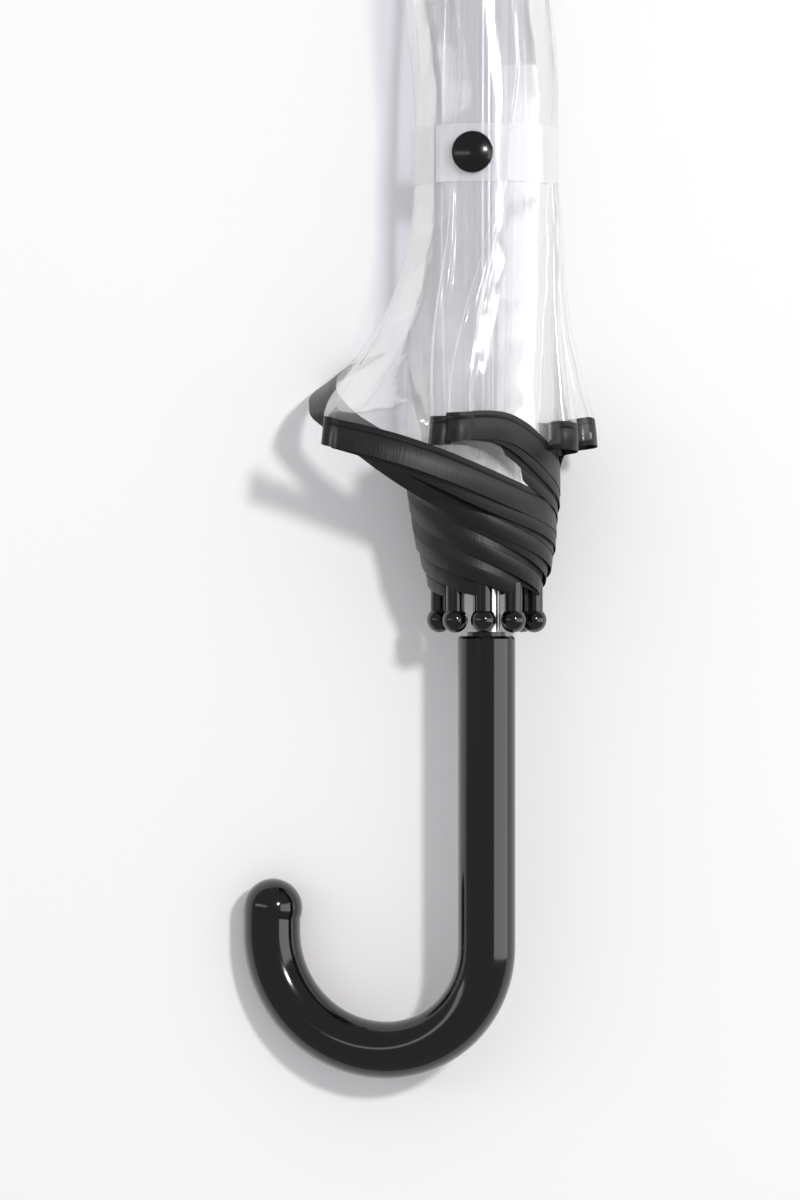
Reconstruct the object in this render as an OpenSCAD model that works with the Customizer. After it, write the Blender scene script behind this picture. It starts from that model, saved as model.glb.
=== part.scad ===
// Clear bubble umbrella, rolled and lying on its side. The shaft runs along +Y, the crook
// hangs off towards -X, and +Z is up. Millimetres. The origin is on the shaft's axis, at the
// top end of the handle.

/* [Handle] */
// Radius of the handle's round grip
grip_r = 10.8; // [8:0.1:12]
// Length of the straight grip
grip_len = 116.6; // [90:0.1:140]
// Bend radius of the crook beside the grip
crook_r = 39.6; // [34:0.1:44]
// Bend radius of the crook's free side
crook_end_r = 44.2; // [38:0.1:48]
// Height of the bulb's centre above the bend's end
bulb_rise = 8.8; // [6:0.1:24]
// How far the crook sinks towards the surface, as a turn about the shaft
crook_tilt = 14.6; // [0:0.1:20]

/* [Shaft] */
// Outer radius of the steel tube
shaft_r = 5; // [4:0.1:6]
// Wall thickness of the steel tube
shaft_wall = 0.6; // [0.4:0.1:1]
// Height of the ribs' hinge ring above the handle
hub_z = 650; // [560:1:720]
// Length of the ferrule that stands above the canopy
ferrule_len = 52; // [30:1:70]

/* [Frame] */
// Radius of a rib rod
rib_r = 1.2; // [0.9:0.1:1.3]
// Height of the rib joint above the handle
knee_z = 337; // [300:1:360]
// Height of the stretchers' hinge ring on the runner
runner_z = 62; // [50:1:80]
// Radius of the ring of tips
tip_ring_r = 17.8; // [17:0.1:20]
// Radius of a ball tip
ball_r = 4.7; // [4:0.1:5]
// How far the runner slides to open the canopy
travel = 345; // [200:1:350]

/* [Closure] */
// Height of the strap's middle above the handle
strap_z = 179; // [170:1:190]
// Width of the strap
strap_w = 21; // [16:1:24]
// Radius of the snap's cap
cap_r = 7.7; // [6:0.1:9]

/* [Hidden] */
$fn = 48;
ribs = 8;
step = 360 / ribs;
first_rib = -95;               // azimuth of rib 1, with the upper side at -90
tip_lean = [0, -2.3, 0, 0, 0, 0, 0, 2.5]; // tangential shift of each tip where the roll pulls it

hub_r = 7.5;                   // hinge ring of the ribs
runner_ring_r = 8;             // hinge ring of the stretchers
knee_r = 12;                   // rib joint's distance from the axis
foot_z = 12;                   // lower end of a rib, inside its tip
upper_turn = 26;               // how much an upper rib curves over its length
lower_turn = 12;
eye_r = 1.6;
eye_w = 1.6;
slot_w = 3;
wire_r = 0.45;
pin_r = 0.75;
gap = 0.1;                     // running clearance of a hinge pin
ear_w = 1.6;
knee_eye_r = 2.2;
bed_z = 31;                    // height of the shaft's axis above the surface
film = 1;                      // wall of the canopy's stand-in
strap_r = 27.7;
strap_t = 0.8;
strap_hinge = -28;             // azimuth where the strap's free end folds back
strap_start = 110;
cap_azimuth = -101;

// Outline of the rolled canopy: [height, radius], from the hem to the crown
roll_outline = [[13, 23.4], [30, 25], [51, 27], [75, 32], [95, 36], [126, 34.5], [150, 30],
    [165, 27.2], [193, 27.2], [215, 28], [337, 28], [420, 31], [500, 32], [560, 29.8],
    [610, 23.8], [638, 16.5]];

// Turns the upright umbrella to lie along +Y
module lay() rotate([-90, 0, 0]) children();

// Repeats a piece's own azimuth round the shaft
module at_rib(i) rotate([0, 0, first_rib + step * (i - 1)]) children();

// A point of a circle in the plane of a rib, as [x, 0, z]
function in_plane(p) = [p[0], 0, p[1]];

// A rod that bows outwards from low to high, both [radius, height], in the plane of a rib
module bowed_rod(low, high, turn, r) {
    chord = norm(high - low);
    bend_r = chord / (2 * sin(turn / 2));
    up = (high - low) / chord;
    tilt = atan2(-up[0], up[1]);
    middle = (low + high) / 2;
    centre = middle - [cos(tilt), sin(tilt)] * bend_r * cos(turn / 2);
    translate(in_plane(centre))
        rotate([90, 0, 0])
            rotate([0, 0, tilt - turn / 2])
                rotate_extrude(angle = turn, $fn = 360)
                    translate([bend_r, 0]) circle(r, $fn = 20);
}

// A short round bar across the plane of a rib, from y0 to y1
module cross_bar(p, r, y0, y1)
    translate(in_plane(p)) rotate([-90, 0, 0]) translate([0, 0, y0]) cylinder(r = r, h = y1 - y0);

knee = [knee_r, knee_z];
hub = [hub_r, hub_z];
foot = [tip_ring_r, foot_z];
rod_top = knee + [0.6, -6.4];
runner_eye = [runner_ring_r, runner_z];

// Leans a lower rib and its tip sideways about the knee
module lean(i) {
    turn = asin(tip_lean[i - 1] / (knee_z - foot_z));
    translate([0, 0, knee_z]) rotate([turn, 0, 0]) translate([0, 0, -knee_z]) children();
}

module rib_upper(i) color("silver") at_rib(i) {
    difference() {
        union() {
            bowed_rod(knee, hub, upper_turn, rib_r);
            cross_bar(hub, eye_r, -eye_w / 2, eye_w / 2);
            cross_bar(knee, knee_eye_r, -1.1, 1.1);
        }
        cross_bar(hub, wire_r + 0.15, -eye_w, eye_w);
    }
    cross_bar(knee, pin_r, 1.05, 3.3);
}

module rib_lower(i) color("silver") at_rib(i) {
    difference() {
        union() {
            lean(i) bowed_rod(foot, rod_top, lower_turn, rib_r);
            cross_bar(knee, knee_eye_r, 1.4, 1.4 + ear_w);
            translate([knee_r - 0.9, 1.4, knee_z - 8]) cube([2.4, ear_w, 7]);
            translate([knee_r - 0.9, -0.7, knee_z - 9]) cube([2.4, 3.7, 4]);
        }
        cross_bar(knee, pin_r + gap, 1, 4);
    }
}

module stretcher(i) color("gainsboro") at_rib(i) {
    length = norm(knee - runner_eye);
    tilt = atan2(knee_r - runner_ring_r, knee_z - runner_z);
    difference() {
        union() {
            cross_bar(runner_eye, eye_r, -eye_w / 2, eye_w / 2);
            cross_bar(knee, knee_eye_r, -3, -3 + ear_w);
            translate(in_plane(runner_eye)) rotate([0, tilt, 0]) {
                translate([-1, -eye_w / 2, 1]) cube([2, eye_w, 12]);
                translate([-1, -3, 9]) cube([2, 3, 4]);
                translate([-1, -3, 9]) cube([2, ear_w, length - 9]);
            }
        }
        cross_bar(runner_eye, wire_r + 0.15, -eye_w, eye_w);
        cross_bar(knee, pin_r + gap, -4, -1);
    }
}

module tip(i) color("black") at_rib(i) lean(i) translate([tip_ring_r, 0, 0])
    difference() {
        union() {
            translate([0, 0, 6]) sphere(ball_r);
            translate([0, 0, 6]) cylinder(r = 3.3, h = 14);
        }
        translate([-tip_ring_r, 0, 0]) bowed_rod(foot, rod_top, lower_turn, rib_r + 0.05);
    }

// A flat strip of width w outside a bowed rod, over a share of its curve
module bowed_strip(low, high, turn, share, thick, w) {
    chord = norm(high - low);
    bend_r = chord / (2 * sin(turn / 2));
    up = (high - low) / chord;
    tilt = atan2(-up[0], up[1]);
    centre = (low + high) / 2 - [cos(tilt), sin(tilt)] * bend_r * cos(turn / 2);
    translate([centre[0], w / 2, centre[1]])
        rotate([90, 0, 0])
            rotate([0, 0, tilt - turn / 2 + turn * share[0]])
                rotate_extrude(angle = turn * (share[1] - share[0]), $fn = 360)
                    translate([bend_r + rib_r + 0.15, 0]) square([thick, w]);
}

// Welded seam of one panel, outside the next rib's upper half
module seam(i) color("whitesmoke") at_rib(i + 1)
    bowed_strip(knee, hub, upper_turn, [0.06, 0.9], 0.4, 4);

// Hem binding where it is sewn beside one tip
module hem(i) color("black") at_rib(i + 1) lean((i % ribs) + 1)
    bowed_strip(foot, rod_top, lower_turn, [0.035, 0.075], 0.6, 6);

module shaft() color("silver") difference() {
    translate([0, 0, -60]) cylinder(r = shaft_r, h = hub_z + 68);
    translate([0, 0, -61]) cylinder(r = shaft_r - shaft_wall, h = hub_z + 70);
    for (z = [catch_z, top_catch_z])
        translate([2, -1.2, z - 0.4]) cube([6, 2.4, 10.8]);
}

module handle() color("black") rotate([0, 0, -crook_tilt]) difference() {
    union() {
        translate([0, 0, -grip_len]) cylinder(r = grip_r, h = grip_len - 1);
        translate([0, 0, -1]) cylinder(r1 = grip_r, r2 = grip_r - 1, h = 1);
        cylinder(r = 7.4, h = 1.6);
        translate([-crook_r, 0, -grip_len]) rotate([90, 0, 0]) rotate([0, 0, -90])
            rotate_extrude(angle = 90, $fn = 180) translate([crook_r, 0]) circle(grip_r);
        translate([-crook_r, 0, bend_end_z]) rotate([90, 0, 0]) rotate([0, 0, -180])
            rotate_extrude(angle = 90, $fn = 180)
                translate([crook_end_r, 0]) circle(grip_r);
        translate([-crook_r - crook_end_r, 0, bend_end_z]) cylinder(r = grip_r, h = bulb_rise);
        translate([0.5 - crook_r - crook_end_r, 0, bend_end_z + bulb_rise]) sphere(grip_r + 0.35);
    }
    translate([0, 0, -60.5]) cylinder(r = shaft_r + 0.03, h = 70);
}
bend_end_z = -grip_len - crook_r + crook_end_r;

module ferrule() color("black") difference() {
    union() {
        translate([0, 0, hub_z + 9]) cylinder(r = 15, h = 1.6);
        translate([0, 0, hub_z + 10.5]) cylinder(r1 = 10, r2 = 6.5, h = 6);
        translate([0, 0, hub_z + 16]) cylinder(r1 = 6.5, r2 = 4.5, h = ferrule_len - 25);
        translate([0, 0, hub_z + ferrule_len - 10]) cylinder(r = 4.5, h = 18);
        translate([0, 0, hub_z + ferrule_len + 8]) sphere(4.5);
    }
    translate([0, 0, hub_z]) cylinder(r = shaft_r + 0.03, h = 18.5);
}

module ring_wire(r, z, thick) translate([0, 0, z]) rotate_extrude() translate([r, 0]) circle(thick);

module crown_notch() {
    color("dimgray") difference() {
        translate([0, 0, hub_z - 7]) cylinder(r = 9.6, h = 14);
        translate([0, 0, hub_z - 8]) cylinder(r = shaft_r + 0.03, h = 17);
        for (i = [1:ribs]) at_rib(i)
            translate([5.7, -slot_w / 2, hub_z - 9]) cube([6, slot_w, 13]);
        ring_wire(hub_r, hub_z, wire_r + 0.05);
    }
    color("silver") ring_wire(hub_r, hub_z, wire_r);
}

module runner() {
    color("dimgray") difference() {
        union() {
            translate([0, 0, runner_z - 40]) cylinder(r = 7.6, h = 36);
            translate([0, 0, runner_z - 6]) cylinder(r = 10.2, h = 10);
        }
        translate([0, 0, runner_z - 41]) cylinder(r = shaft_r + 0.1, h = 46);
        for (i = [1:ribs]) at_rib(i)
            translate([6.2, -slot_w / 2, runner_z - 3]) cube([6, slot_w, 8]);
        ring_wire(runner_ring_r, runner_z, wire_r + 0.05);
        translate([3, -1.6, catch_z - 3]) cube([8, 3.2, 16]);
    }
    color("silver") ring_wire(runner_ring_r, runner_z, wire_r);
}
catch_z = runner_z - 28;
top_catch_z = runner_z + travel - 54;

// Spring catch: a wedge that stands out of the shaft's slot
module spring_catch(z) color("silver") translate([0, 0.8, z]) rotate([90, 0, 0])
    linear_extrude(1.6) polygon([[2.6, 0], [7.2, 9], [7.2, 10], [2.6, 10]]);

module canopy_solid(shrink) intersection() {
    rotate_extrude($fn = 64) polygon(concat(
        [[0, roll_outline[0][0] - shrink]],
        [for (p = roll_outline) [p[1] - shrink, p[0] + (p == roll_outline[0] ? -shrink : 0)]],
        [[0, roll_outline[len(roll_outline) - 1][0]]]));
    translate([-60, -60, 0]) cube([120, 60 + bed_z - shrink, 700]);
}

module canopy() color("aliceblue", 0.5) difference() {
    canopy_solid(0);
    difference() {
        canopy_solid(film);
        translate([0, 0, 636.5]) cylinder(r = 40, h = 10);
    }
    translate([0, 0, 600]) cylinder(r = 13, h = 60);
}

// A stretch of the strap round the roll, between two azimuths
module strap_arc(from, to, r) translate([0, 0, strap_z - strap_w / 2]) rotate([0, 0, from])
    rotate_extrude(angle = to - from, $fn = 96) translate([r, 0]) square([strap_t, strap_w]);

module strap_band() color("aliceblue", 0.5) difference() {
    strap_arc(strap_start - 360, strap_hinge, strap_r);
    snap_place(strap_r) cylinder(r = 2.3, h = 4, center = true);
}

module strap_flap() color("aliceblue", 0.5) difference() {
    strap_arc(-130, strap_hinge, strap_r + 1.2);
    snap_place(strap_r) cylinder(r = 2.3, h = 8, center = true);
}

module snap_place(r) rotate([0, 0, cap_azimuth]) translate([r, 0, strap_z]) rotate([0, 90, 0])
    children();

module snap_cap() color("black") snap_place(strap_r + 2.1) difference() {
    intersection() {
        translate([0, 0, -11.2]) sphere(r = 14.2, $fn = 96);
        cylinder(r = cap_r, h = 6, $fn = 96);
    }
    translate([0, 0, -1]) cylinder(r = 2.25, h = 2.4);
}

module snap_stud() color("silver") snap_place(strap_r) {
    translate([0, 0, -0.35]) cylinder(r = 2.2, h = 3.6);
}

lay() {
    shaft();
    handle();
    ferrule();
    crown_notch();
    canopy();
    runner();
    spring_catch(catch_z);  // lower_catch
    spring_catch(top_catch_z);  // upper_catch
    strap_band();
    strap_flap();
    snap_cap();
    snap_stud();
    for (i = [1:ribs]) {
        rib_upper(i);
        rib_lower(i);
        tip(i);
        stretcher(i);
        seam(i);
        hem(i);
    }
}
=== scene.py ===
import math

import bpy
import numpy as np
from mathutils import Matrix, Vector


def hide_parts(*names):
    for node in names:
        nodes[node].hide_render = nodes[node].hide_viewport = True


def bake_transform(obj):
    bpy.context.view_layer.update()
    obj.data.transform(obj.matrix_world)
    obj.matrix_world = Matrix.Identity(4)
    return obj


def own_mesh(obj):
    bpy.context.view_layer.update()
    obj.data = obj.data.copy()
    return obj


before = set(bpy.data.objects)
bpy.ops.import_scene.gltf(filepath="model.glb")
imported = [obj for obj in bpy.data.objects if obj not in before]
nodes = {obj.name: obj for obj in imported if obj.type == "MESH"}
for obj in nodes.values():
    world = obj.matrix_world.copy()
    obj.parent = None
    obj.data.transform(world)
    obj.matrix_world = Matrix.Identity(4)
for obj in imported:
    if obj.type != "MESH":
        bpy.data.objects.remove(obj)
scene = bpy.context.scene
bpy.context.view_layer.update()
print("frame loaded")


def srgb(text):
    # a hex colour as linear light: (c + 0.055) / 1.055 to the power 2.4, straight near black
    parts = [int(text[i : i + 2], 16) / 255 for i in (1, 3, 5)]
    return [c / 12.92 if c <= 0.04045 else ((c + 0.055) / 1.055) ** 2.4 for c in parts] + [1.0]


def material(name):
    # an empty material, and a function that adds a node to it: links are (output, input) pairs, and a value
    # whose name starts with in_ sets a socket
    mat = bpy.data.materials.new(name)
    mat.use_nodes = True
    tree = mat.node_tree
    for n in list(tree.nodes):
        tree.nodes.remove(n)

    def add(kind, links=(), **values):
        node = tree.nodes.new("ShaderNode" + kind)
        for key, value in values.items():
            if key.startswith("in_"):
                socket = key[3:]
                socket = int(socket) if socket.isdigit() else socket.replace("_", " ")
                node.inputs[socket].default_value = value
            else:
                setattr(node, key, value)
        for source, target in links:
            tree.links.new(source, node.inputs[target])
        return node

    return mat, add


def finishMaterial(add, shader):
    add("OutputMaterial", [(shader, "Surface")])


def smooth(x, low, high):
    # 0 below low, 1 above high, and 3 t squared less 2 t cubed in between
    t = np.clip((x - low) / (high - low), 0, 1)
    return t * t * (3 - 2 * t)


def curve(table, x):
    # straight lines between (x, value) pairs
    t = np.array(table, float)
    return np.interp(x, t[:, 0], t[:, 1])


def gridMesh(name, points):
    # points is rows x columns x 3, in metres, and every four neighbours make a face
    rows, cols = points.shape[:2]
    r, c = np.meshgrid(np.arange(rows - 1), np.arange(cols - 1), indexing="ij")
    corner = r * cols + c
    faces = np.stack([corner, corner + 1, corner + cols + 1, corner + cols], -1).reshape(-1, 4)
    mesh = bpy.data.meshes.new(name)
    mesh.vertices.add(rows * cols)
    mesh.vertices.foreach_set("co", points.astype(np.float32).ravel())
    mesh.loops.add(faces.size)
    mesh.loops.foreach_set("vertex_index", faces.astype(np.int32).ravel())
    mesh.polygons.add(len(faces))
    mesh.polygons.foreach_set("loop_start", np.arange(0, faces.size, 4, dtype=np.int32))
    mesh.update(calc_edges=True)
    mesh.polygons.foreach_set("use_smooth", np.ones(len(faces), bool))
    obj = bpy.data.objects.new(name, mesh)
    scene.collection.objects.link(obj)
    return obj


# straight above the crook and the rolled edge; height is what the frame takes in, in metres
look = {"centre": (-0.0325, 0.0135), "height": 0.450, "distance": 1.9, "sensor": 24}
camera = bpy.data.objects.new("camera", bpy.data.cameras.new("camera"))
camera.data.sensor_fit = "VERTICAL"
camera.data.sensor_height = look["sensor"]
camera.data.lens = look["sensor"] * look["distance"] / look["height"]
camera.location = (*look["centre"], look["distance"])
camera.data.clip_end = 50
scene.collection.objects.link(camera)
scene.camera = camera

# the ground touches the end of the crook
ground = {"z": -0.0322, "reach": 6.0, "sink": 0.46, "colour": "#fbfbfc"}


def backdrop():
    mat, add = material("white_sweep_paper")
    out = add("BsdfPrincipled", in_Roughness=0.9, in_Base_Color=srgb(ground["colour"]))
    finishMaterial(add, out.outputs[0])
    ends = np.array([-ground["reach"], ground["reach"]])
    x, y = np.meshgrid(ends, ends)
    obj = gridMesh("ground", np.stack([x, y, np.full_like(x, ground["z"])], -1))
    obj.data.materials.append(mat)
    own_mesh(obj)


# the room is dimmer in reflections than it is as fill light
room = {"colour": "#fdfdff", "fill": 0.6, "reflected": 0.3}
lamps = {
    "key": {"place": (0.74, 0.6, 1.95), "target": (0, 0.05, 0), "size": (0.17, 0.17),
            "power": 21.0, "colour": "#fffbf7"},
    "strip_left": {"place": (-1.3, 0.2, 1.1), "target": (0, 0.1, 0), "size": (0.2, 1.6),
                   "power": 2.0, "colour": "#ffffff"},
    # a broad softbox that only shows in reflections, as the pale stripe down the handle's right side
    "softbox_right": {"place": (1.6, 0.0, 0.92), "target": (0, 0.05, 0), "size": (0.9, 2.2),
                      "power": 13.0, "colour": "#ffffff", "diffuse": False},
}


def lamp(name, settings):
    data = bpy.data.lights.new(name, "AREA")
    data.shape = "RECTANGLE"
    data.size, data.size_y = settings["size"]
    data.energy = settings["power"]
    data.color = srgb(settings["colour"])[:3]
    obj = bpy.data.objects.new(name, data)
    obj.location = settings["place"]
    obj.rotation_mode = "QUATERNION"
    aim = Vector(settings["target"]) - Vector(settings["place"])
    obj.rotation_quaternion = aim.to_track_quat("-Z", "Y")
    obj.visible_diffuse = settings.get("diffuse", True)
    scene.collection.objects.link(obj)


def lighting():
    world = bpy.data.worlds.new("studio")
    scene.world = world
    world.use_nodes = True
    tree = world.node_tree
    back = tree.nodes["Background"]
    back.inputs[0].default_value = srgb(room["colour"])
    path = tree.nodes.new("ShaderNodeLightPath")
    level = tree.nodes.new("ShaderNodeMapRange")
    level.inputs["To Min"].default_value = room["fill"]
    level.inputs["To Max"].default_value = room["reflected"]
    tree.links.new(path.outputs["Is Glossy Ray"], level.inputs["Value"])
    tree.links.new(level.outputs[0], back.inputs[1])
    for name, settings in lamps.items():
        lamp(name, settings)
    scene.view_settings.view_transform = "Standard"
    scene.view_settings.exposure = 0.0
    scene.cycles.transparent_max_bounces = 96  # a ray can cross the whole roll, some forty layers of film
    scene.cycles.max_bounces = 14


backdrop()
lighting()
print("stage ready")


def glossBlack(name, colour, rough, coat, ripple):
    # injection-moulded ABS, polished: sharp reflections with faint waves about 11 mm long
    mat, add = material(name)
    where = add("TexCoord")
    wave = add("TexNoise", [(where.outputs["Object"], "Vector")], in_Scale=90.0, in_Detail=2.0)
    bump = add("Bump", [(wave.outputs[0], "Height")], in_Strength=ripple, in_Distance=0.0004)
    out = add("BsdfPrincipled", [(bump.outputs[0], "Normal")], in_Base_Color=srgb(colour),
              in_Roughness=rough, in_Coat_Weight=coat, in_Coat_Roughness=0.04)
    finishMaterial(add, out.outputs[0])
    return mat


def metal(name, colour, rough):
    # drawn or plated steel: streaks about 1 mm wide and 80 mm long vary how sharply it reflects
    mat, add = material(name)
    where = add("TexCoord")
    place = add("Mapping", [(where.outputs["Object"], "Vector")], in_Scale=(900, 12, 900))
    wave = add("TexNoise", [(place.outputs[0], "Vector")], in_Scale=1.0)
    spread = add("MapRange", [(wave.outputs[0], "Value")], in_To_Min=rough * 0.7, in_To_Max=rough * 1.4)
    out = add("BsdfPrincipled", [(spread.outputs[0], "Roughness")], in_Base_Color=srgb(colour),
              in_Metallic=1.0)
    finishMaterial(add, out.outputs[0])
    return mat


def clearFilm(name, haze, tint, gloss, crease):
    # calendered PVC film: passes light straight through, reflects at grazing angles, slightly milky,
    # with soft creases about 8 mm wide and 50 mm long
    mat, add = material(name)
    where = add("TexCoord")
    place = add("Mapping", [(where.outputs["Object"], "Vector")], in_Scale=(1, 0.16, 1))
    wave = add("TexNoise", [(place.outputs[0], "Vector")], in_Scale=120.0, in_Detail=2.0, in_Roughness=0.5)
    bump = add("Bump", [(wave.outputs[0], "Height")], in_Strength=crease, in_Distance=0.0012)
    through = add("BsdfTransparent", in_Color=srgb(tint))
    milk = add("BsdfDiffuse", in_Color=srgb("#f8f8f9"))
    glow = add("BsdfTranslucent", in_Color=srgb("#f8f8f9"))
    cloudy = add("MixShader", [(milk.outputs[0], 1), (glow.outputs[0], 2)], in_0=0.35)
    # seen edge-on there is more film to look through, so it is milkier there
    face = add("LayerWeight", in_Blend=0.35)
    depth = add("MapRange", [(face.outputs["Facing"], "Value")], in_To_Min=haze, in_To_Max=haze * 4)
    body = add("MixShader", [(depth.outputs[0], 0), (through.outputs[0], 1), (cloudy.outputs[0], 2)])
    shine = add("BsdfGlossy", [(bump.outputs[0], "Normal")], in_Roughness=0.1, in_Color=srgb("#ffffff"))
    edge = add("Fresnel", [(bump.outputs[0], "Normal")], in_IOR=1.42)
    amount = add("Math", [(edge.outputs[0], 0)], operation="MULTIPLY", in_1=gloss)
    capped = add("Math", [(amount.outputs[0], 0)], operation="MINIMUM", in_1=0.35)
    # shadow rays pass nearly clear, so the stack of layers doesn't go dark
    path = add("LightPath")
    clearest = add("BsdfTransparent", in_Color=srgb("#fcfcfd"))
    lit = add("MixShader", [(capped.outputs[0], 0), (body.outputs[0], 1), (shine.outputs[0], 2)])
    ray = path.outputs["Is Shadow Ray"]
    out = add("MixShader", [(ray, 0), (lit.outputs[0], 1), (clearest.outputs[0], 2)])
    finishMaterial(add, out.outputs[0])
    return mat


def hemFabric():
    # woven polyester binding: rounded across its width, with fine gathers and a stitched groove near the top.
    # Its map is in metres along the strip and 0 to 1 across it. The threads are too fine to show.
    mat, add = material("black_taffeta_binding")
    where = add("TexCoord")
    split = add("SeparateXYZ", [(where.outputs["UV"], "Vector")])
    # gathers under 1 mm apart, each running right across the strip
    gather = add("Mapping", [(where.outputs["UV"], "Vector")], in_Scale=(1300, 1.6, 1))
    fold = add("TexNoise", [(gather.outputs[0], "Vector")], in_Scale=1.0, in_Detail=3.0)
    faint = add("Math", [(fold.outputs[0], 0)], operation="MULTIPLY", in_1=0.13)
    half = add("Math", [(split.outputs[1], 0)], operation="MULTIPLY", in_1=math.pi)
    crown = add("Math", [(half.outputs[0], 0)], operation="SINE")
    # the stitch line is a groove a fifth of the way down
    off = add("Math", [(split.outputs[1], 0)], operation="SUBTRACT", in_1=0.2)
    near = add("Math", [(off.outputs[0], 0)], operation="ABSOLUTE")
    groove = add("MapRange", [(near.outputs[0], "Value")], in_From_Min=0.0, in_From_Max=0.06,
                 in_To_Min=-0.4, in_To_Max=0.0)
    lift = add("Math", [(faint.outputs[0], 0), (crown.outputs[0], 1)], operation="ADD")
    sunk = add("Math", [(lift.outputs[0], 0), (groove.outputs[0], 1)], operation="ADD")
    bump = add("Bump", [(sunk.outputs[0], "Height")], in_Strength=0.9, in_Distance=0.0011)
    out = add("BsdfPrincipled", [(bump.outputs[0], "Normal")], in_Base_Color=srgb("#141215"),
              in_Roughness=0.46, in_Sheen_Weight=0.15, in_Sheen_Roughness=0.35)
    finishMaterial(add, out.outputs[0])
    return mat


mats = {
    "plastic": glossBlack("gloss_black_plastic", "#0c0a0a", 0.12, 0.4, 0.04),
    "cap": glossBlack("gloss_black_snap", "#08080a", 0.2, 0.2, 0.0),
    "grey": glossBlack("pale_grey_nylon", "#d9dbe0", 0.45, 0.0, 0.0),
    "chrome": metal("plated_steel_tube", "#c9ccd2", 0.16),
    "steel": metal("bare_spring_steel", "#b9bcc2", 0.3),
    "rod": metal("satin_silver_rib", "#c4c7cd", 0.34),
    "film": clearFilm("clear_vinyl_film", 0.06, "#ffffff", 0.75, 0.35),
    "strap": clearFilm("clear_vinyl_strap", 0.05, "#ffffff", 0.8, 0.15),
    "flap": clearFilm("clear_vinyl_flap", 0.22, "#fdfdfe", 1.0, 0.15),
    "hem": hemFabric(),
}
finishOf = {"shaft": "chrome", "handle": "plastic", "ferrule": "plastic", "crown_notch": "grey",
            "runner": "grey", "lower_catch": "steel", "upper_catch": "steel", "snap_cap": "cap",
            "snap_stud": "steel", "strap_band": "strap", "strap_flap": "flap", "rib_upper": "rod",
            "rib_lower": "rod", "stretcher": "steel", "tip": "plastic"}
for name, obj in nodes.items():
    kind = name.rstrip("0123456789").rstrip("_")
    if kind in finishOf:
        obj.data.materials.clear()
        obj.data.materials.append(mats[finishOf[kind]])
        for p in obj.data.polygons:
            p.use_smooth = True
print("materials ready")


# Millimetres and degrees. Heights are above the handle's top, and lists run round the ribs from the first.
canopy = {
    "ribs": 8, "firstRib": -95.0,
    "hub": 650.0, "hubRadius": 7.5, "knee": 337.0, "kneeRadius": 12.0, "foot": 12.0, "footRadius": 17.8,
    "upperTurn": 26, "lowerTurn": 12,  # how far each rod bends over its length
    "crownHole": 8.0, "overlap": 22.0,  # the two lengths of a gore pass each other by this at the knee
    "ribGap": 1.6,  # from a rod's centre to the film on it
    "openHalfWidth": [(0, 2), (150, 55), (313, 107), (460, 132), (640, 150)],  # by distance from the crown
    # the roll's radius by height
    "outline": [(10, 29.0), (28, 31.0), (40, 31.4), (51, 31.0), (75, 30.2), (100, 29.0), (126, 28.0),
                (165, 26.9), (193, 26.9), (215, 27.3), (337, 26.6), (420, 29.8), (500, 30.4), (560, 27),
                (610, 18.6), (638, 12.3), (660, 10.5)],
    "flare": (82, 180),  # between these heights the pleats let go of the roll
    # where each pleat leaves the roll, in degrees of wrap, how flat it then runs, and how much longer it is
    "peel": [(268, 0.97, 1.05), (270, 0.97, 1.12), (300, 0.3, 1.0), (330, 0.1, 1.0),
             (186, 0.78, 1.33), (190, 0.72, 1.175), (236, 0.78, 1.06), (268, 0.72, 1.19)],
    "spread": [0.85, 0.85, 0.85, 0.85, 0.75, 1.2, 0.95, 0.95],  # below 1 it flares out sooner
    "fold": 0.45, "loop": [4.9, 5.3, 1.6, 1.2, 1.1, 1.6, 3.2, 3.6],  # fold radius, and what the flare adds
    "pile": 0.22, "pileHeights": (25, 80),  # near the tips the wound edges stand off the ribs sooner
    "twinGap": 0.55, "mostPitch": 0.9,  # how far a pleat's second half lies outside its first
    "lean": [(1.8, (22, 60), (110, 160)), (3.5, (196, 250), (520, 640))],  # the roll's drift to -X
    "strap": 179.0, "strapReach": 16.0,  # the strap presses the creases flat
    "rest": 0.9,  # least height of the film over the ground
}
hem = {
    "gap": 14.5, "width": 10.5,
    "cover": 2.0,  # the film stops this far inside the binding's free edge
    "sag": [54.5, 56.5, 58, 58, 58, 56.5, 54.5, 55.5],  # how much shorter a panel is at its middle
    # an extra rise of the edge: how much, where between rib and fold, how wide
    "arch": [(3, 0.84, 0.13), (3, 0.84, 0.13), (0, 1, 1), (0, 1, 1),
             (25, 1.0, 0.36), (-3, 0.6, 0.2), (7, 0.84, 0.13), (8, 0.84, 0.13)],
    "slip": 2.0,  # the two halves of a pleat don't quite line up
    "panelWidth": 0.3,  # metres along the edge of one panel
}


def arcRadius(h, low, high, lowRadius, highRadius, turn):
    # a straight line between the two radii, plus a parabola that stands out at its middle by half the height
    # times the tangent of a quarter of the turn
    t = np.clip((h - low) / (high - low), 0, 1)
    bow = (high - low) / 2 * math.tan(math.radians(turn) / 4)
    return lowRadius + (highRadius - lowRadius) * t + 4 * bow * t * (1 - t)


def ribRadius(h):
    # how far a rib is from the shaft: its upper rod above the knee, its lower rod below
    upper = arcRadius(h, canopy["knee"], canopy["hub"], canopy["kneeRadius"], canopy["hubRadius"],
                      canopy["upperTurn"])
    lower = arcRadius(h, canopy["foot"], canopy["knee"], canopy["footRadius"], canopy["kneeRadius"],
                      canopy["lowerTurn"])
    return np.where(h > canopy["knee"], upper, lower)


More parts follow.
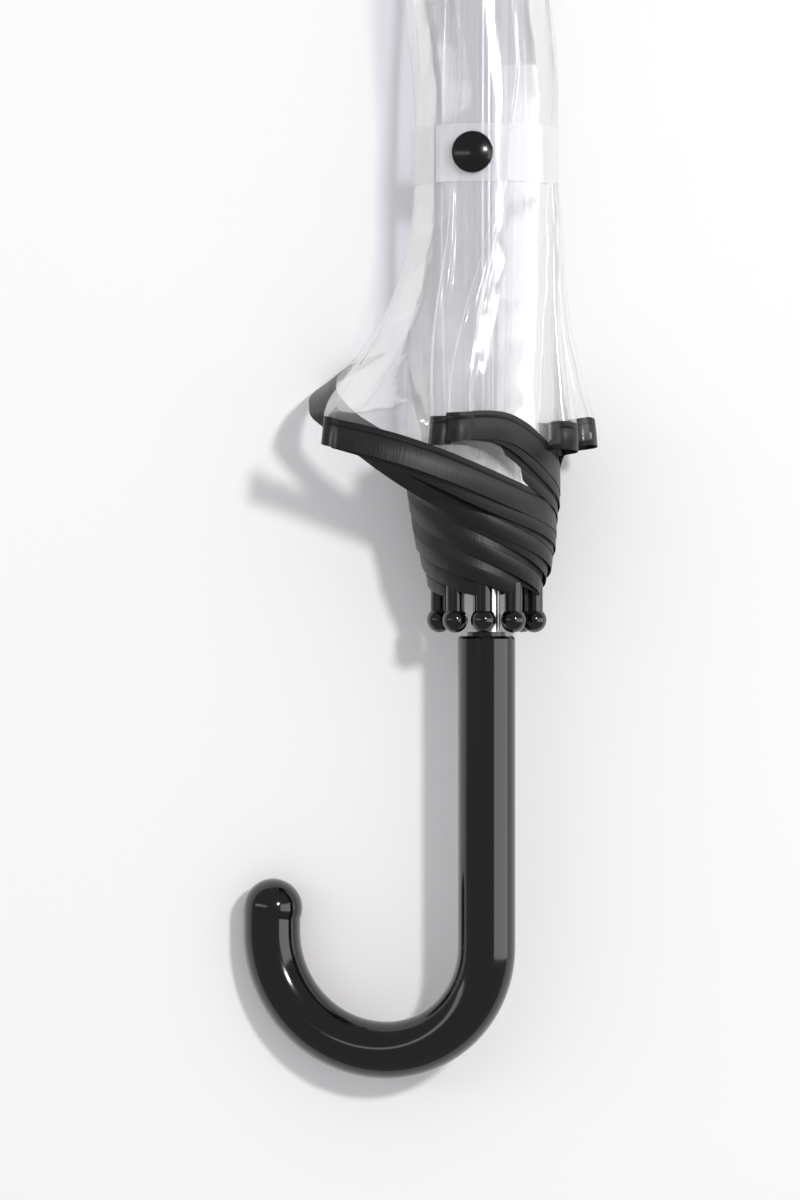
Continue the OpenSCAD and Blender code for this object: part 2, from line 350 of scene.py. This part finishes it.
def creases(i, s, h):
    # shallow creases along the roll: three sines of height and place, fading at the ribs, ends and strap
    depth = (0.28 * np.sin(h * 0.045 + 9 * s + 2.1 * i) + 0.2 * np.sin(h * 0.11 - 17 * s + i)
             + 0.12 * np.sin(h * 0.3 + 31 * s + 3 * i))
    depth = depth * smooth(s, 0.02, 0.3) * smooth(h, 50, 120) * smooth(canopy["hub"] - h, 10, 60)
    return depth * (1 - 0.9 * np.exp(-(((h - canopy["strap"]) / canopy["strapReach"]) ** 2)))


def pleatPoint(i, u, length, lift=0.0):
    # Rolled place of the film: u runs 0 to 1 from rib i to rib i + 1, length is the distance from the crown.
    # Each half follows the roll outwards in a spiral, leaves it on a flatter arc, and meets its twin in a
    # small rounded fold. Azimuth is the start less the angle wrapped; radius grows with that angle.
    side = np.where(u < 0.5, 0.0, 1.0)
    s = 1 - np.abs(2 * u - 1)
    h = canopy["hub"] - length
    half = curve(canopy["openHalfWidth"], length)
    leaves, flat, longer = canopy["peel"][i]
    flareLow, flareHigh = canopy["flare"]
    low = np.clip((flareHigh - h) / (flareHigh - flareLow), 0, 1) ** canopy["spread"][i]
    outer = curve(canopy["outline"], h)
    inner = np.minimum(ribRadius(h) + canopy["ribGap"], outer - 0.4)
    mean = 0.5 * (inner + outer)
    # every pleat follows one common spiral, so that neighbours stay apart; a longer one leaves it sooner
    wrapFull = half / mean
    half = half * (1 + (longer - 1) * low)
    ribStep = 2 * math.pi / canopy["ribs"]
    start = math.radians(canopy["firstRib"]) + ribStep * i

    # the end of each half runs half round a small tube to meet its twin
    tube = canopy["fold"] + canopy["loop"][i] * low
    back = (1 - s) * half
    turned = np.minimum(back / tube, np.pi)
    travelled = np.where(back < np.pi * tube, half - np.pi * tube + tube * (1 + np.cos(turned)), half - back)
    aside = tube * np.sin(turned)
    reach = travelled / mean

    # the second half starts at the next rib and so has one rib's step more to go
    late = side * ribStep * (1 - np.power(s, 0.7))
    spiral = np.clip((reach - late) / wrapFull, 0, 1)
    piled = np.power(spiral, 1 - canopy["pile"] * (1 - smooth(h, *canopy["pileHeights"])))
    pitch = (outer - inner) * ribStep / np.maximum(wrapFull, 0.6)
    twin = side * np.minimum(pitch, canopy["mostPitch"]) * canopy["twinGap"] * np.minimum(1, 4 * s)
    radius = inner + (outer - inner) * piled + twin

    # past the place where it leaves, it runs along an arc that is flatter than the roll
    leave = math.radians(leaves)
    past = np.maximum(reach - leave, 0) * low
    azimuth = start + late - (reach - past)
    leaveRadius = inner + (outer - inner) * np.clip(leave / wrapFull, 0, 1)
    bend = (1 - low * flat) / np.maximum(leaveRadius, 1)
    run = past * mean
    turn = run * bend
    straight = np.abs(turn) < 1e-6
    safeBend = np.where(straight, 1, bend)
    along = np.where(straight, run, np.sin(turn) / safeBend)
    inward = np.where(straight, 0.0, (1 - np.cos(turn)) / safeBend)
    heading = azimuth - turn
    push = aside * np.where(side > 0, 1.0, -1.0) + creases(i, s, h) + lift
    x = (radius - inward) * np.cos(azimuth) + along * np.sin(azimuth) + push * np.cos(heading)
    z = (inward - radius) * np.sin(azimuth) + along * np.cos(azimuth) - push * np.sin(heading)
    for shift, (rise, risen), (fall, fallen) in canopy["lean"]:
        x = x - shift * smooth(h, rise, risen) * (1 - smooth(h, fall, fallen))
    z = np.maximum(z, ground["z"] * 1000 + canopy["rest"])
    return np.stack([x, h, z], -1) / 1000


def hemLength(i, u):
    # Distance from the crown to the cut edge, which is hollow between the tips: the rib's length less the
    # sag, part straight and part cosine, less a bell for the arch.
    s = 1 - np.abs(2 * u - 1)
    rise = hem["sag"][i] * (0.65 * s + 0.35 * (0.5 - 0.5 * np.cos(np.pi * s)))
    height, middle, width = hem["arch"][i]
    arch = height * np.exp(-(((s - middle) / width) ** 2))
    slip = hem["slip"] * np.where(u > 0.5, 1.0, 0.0) * np.sin(np.pi * s) ** 1.5
    return canopy["hub"] - hem["gap"] - rise - arch - slip


def blended(name, i, u, length, mat, lift=0.0):
    # A point's share of the way towards the second rib is laid out first, and then its rolled place is set.
    t = 0.5 - np.sin(np.arcsin(1 - 2 * np.clip(u, 0, 1)) / 3)
    obj = gridMesh(name, np.stack([t, length / 1000, np.zeros_like(t)], -1))
    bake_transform(obj)
    obj.data.vertices.foreach_set("co", pleatPoint(i, u, length, lift).astype(np.float32).ravel())
    obj.data.update()
    obj.data.materials.append(mat)
    # the cut piece laid flat: its width, length and area in metres
    width = 2 * curve(canopy["openHalfWidth"], length)
    strip = (width[1:, 1:] + width[:-1, :-1]) / 2
    cell = strip * np.diff(u, axis=1)[1:] * np.diff(length, axis=0)[:, 1:]
    obj["cut"] = [float(width.max()) / 1000, float(np.ptp(length)) / 1000, float(cell.sum()) / 1e6]
    return obj


def acrossMap(obj, along, across):
    # lays the binding out flat: metres along it, and 0 to 1 from its sewn edge to its free edge
    where = np.stack([along, across], -1).reshape(-1, 2)
    layer = obj.data.uv_layers.new(name="binding")
    corner = np.zeros(len(obj.data.loops), np.int32)
    obj.data.loops.foreach_get("vertex_index", corner)
    layer.data.foreach_set("uv", where[corner].astype(np.float32).ravel())


# rows and columns of each sheet's grid
grid = {"columns": 168, "upperRows": 56, "lowerRows": 84, "hemRows": 9}


def canopyPieces():
    # for each rib an upper film, a lower film and a binding: rows run down the gore, columns across it
    base = np.linspace(0, 1, grid["columns"])
    across = base - 0.7 * np.sin(4 * np.pi * base) / (4 * np.pi)  # columns crowd at the ribs and the fold
    knee = canopy["hub"] - canopy["knee"]
    top, bottom = knee - canopy["overlap"], knee + canopy["overlap"]
    crown = canopy["crownHole"]
    for i in range(canopy["ribs"]):
        n = i + 1
        t, u = np.meshgrid(np.linspace(0, 1, grid["upperRows"]), across, indexing="ij")
        upper = blended(f"film_upper_{n}", i, u, crown + (bottom - crown) * t,
                        mats["film"])
        t, u = np.meshgrid(np.linspace(0, 1, grid["lowerRows"]), across, indexing="ij")
        length = top + (hemLength(i, u) - hem["cover"] - top) * t
        lower = blended(f"film_lower_{n}", i, u, length, mats["film"], 0.05)
        t, u = np.meshgrid(np.linspace(0, 1, grid["hemRows"]), across, indexing="ij")
        proud = 0.14 + 0.22 * np.sin(np.pi * t) + 0.05 * np.sin(u * 260)  # rounded, with slight puckers
        length = hemLength(i, u) - hem["width"] * (1 - t)
        tape = blended(f"hem_tape_{n}", i, u, length, mats["hem"], proud)
        acrossMap(tape, u * hem["panelWidth"], t)
        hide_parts(f"seam_{n}", *(["canopy"] if i == 0 else []))
        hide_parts(f"hem_{n}")


canopyPieces()
print("canopy ready")
